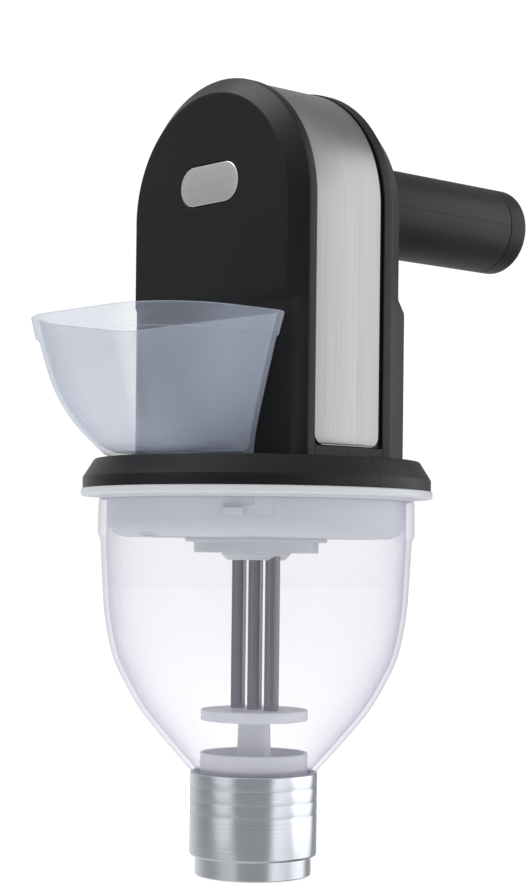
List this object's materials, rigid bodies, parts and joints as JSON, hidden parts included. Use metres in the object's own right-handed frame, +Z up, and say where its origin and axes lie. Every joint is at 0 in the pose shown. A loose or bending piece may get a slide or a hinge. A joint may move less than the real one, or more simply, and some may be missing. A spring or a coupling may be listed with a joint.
{
  "type": "hand-held batter mixer and dispenser",
  "caption": "Hand-held batter mixer and dispenser: an arch-topped drive housing with a grip, a feed cup, and a clear bowl whose plunger works in a metal outlet barrel.",
  "frame": {"origin": "centre of the outlet nozzle's lower end", "axes": "+Z up along the plunger's axis, -Y towards the feed cup, +Y along the grip, away from the housing"},
  "size_m": [0.1666, 0.2751, 0.373],
  "materials": {
    "black_plastic": "fine satin moulding",
    "grip_plastic": "soft satin moulding",
    "brushed_steel": "vertical brushing",
    "white_plastic": "satin",
    "clear_plastic": "clear moulding with a slight violet tint",
    "frosted_plastic": "milky translucent moulding",
    "turned_aluminium": "fine turned",
    "rod_steel": "drawn bar, polished",
    "zinc_steel": "zinc plated",
    "bronze": "sintered bronze",
    "silicone": "translucent silicone",
    "gear_plastic": "natural acetal",
    "circuit_board": "green lacquered laminate",
    "cell_wrap": "heat-shrunk sleeve",
    "dark_parts": "black moulding"
  },
  "bodies": {
    "housing": {"front_housing": "black_plastic", "rear_housing": "black_plastic", "steel_band": "brushed_steel", "lid": "white_plastic", "rod_guide": "white_plastic", "rod_seals": "silicone", "guide_screws": "zinc_steel", "bowl_gasket": "silicone", "guide_rails": "rod_steel", "rail_block_lower": "dark_parts", "rail_block_upper": "dark_parts", "frame_plate_front": "zinc_steel", "frame_plate_rear": "zinc_steel", "frame_pillars": "zinc_steel", "frame_screws": "zinc_steel", "shaft_bushes": "bronze", "motor": "zinc_steel", "motor_screws": "zinc_steel", "housing_screws": "zinc_steel", "button_switch": "dark_parts", "button_boot": "silicone", "control_board": "circuit_board", "board_screws": "zinc_steel", "handle_upper": "grip_plastic", "handle_lower": "grip_plastic", "handle_cap": "grip_plastic", "charge_socket": "zinc_steel", "charge_board": "circuit_board", "battery_cells": "cell_wrap", "cell_tray": "dark_parts", "cell_contacts": "circuit_board"},
    "plunger": {"plunger_disc": "white_plastic", "plunger_stem": "white_plastic", "plunger_cup": "white_plastic", "cup_seal": "silicone", "plunger_rods": "rod_steel", "crosshead": "dark_parts", "rack": "gear_plastic"},
    "output_train": {"output_gear": "gear_plastic", "rack_pinion": "zinc_steel", "output_shaft": "rod_steel"},
    "middle_train": {"middle_gear": "gear_plastic", "middle_shaft": "rod_steel"},
    "motor_rotor": {"motor_shaft": "rod_steel", "motor_pinion": "zinc_steel"},
    "button": {"start_button": "brushed_steel"},
    "bowl_unit": {"bowl": "clear_plastic", "outlet_barrel": "turned_aluminium", "barrel_seal": "silicone"},
    "feed": {"feed_cup": "frosted_plastic"}
  },
  "joints": [
    {"name": "plunger_slide", "type": "slide", "parent": "housing", "child": "plunger", "axis": [0, 0, -1], "range_m": [0, 0.06]},
    {"name": "output_turn", "type": "hinge", "parent": "housing", "child": "output_train", "pos_m": [0.01, 0, 0.27], "axis": [0, 1, 0], "range_deg": [-343.79, 0]},
    {"name": "middle_turn", "type": "hinge", "parent": "housing", "child": "middle_train", "pos_m": [-0.01852, 0, 0.29028], "axis": [0, 1, 0], "range_deg": [0, 1375.11]},
    {"name": "motor_turn", "type": "hinge", "parent": "housing", "child": "motor_rotor", "pos_m": [-0.03, 0, 0.318], "axis": [0, 1, 0], "range_deg": [-5500.4, 0]},
    {"name": "start_button_press", "type": "slide", "parent": "housing", "child": "button", "axis": [0, 1, 0], "range_m": [0, 0.0012], "stiffness_N_per_m": 900, "springref_m": -0.001, "deforming": ["button_boot"]},
    {"name": "bowl_twist", "type": "hinge", "parent": "housing", "child": "bowl_unit", "pos_m": [0, 0, 0.1686], "axis": [0, 0, 1], "range_deg": [-10.5, 0]},
    {"name": "feed_cup_lift", "type": "slide", "parent": "housing", "child": "feed", "axis": [0, 0, 1], "range_m": [0, 0.19]}
  ],
  "couplings": [
    {"joint": "output_turn", "follows": "plunger_slide", "rad_per_m": -100},
    {"joint": "middle_turn", "follows": "plunger_slide", "rad_per_m": 400},
    {"joint": "motor_turn", "follows": "plunger_slide", "rad_per_m": -1600}
  ]
}
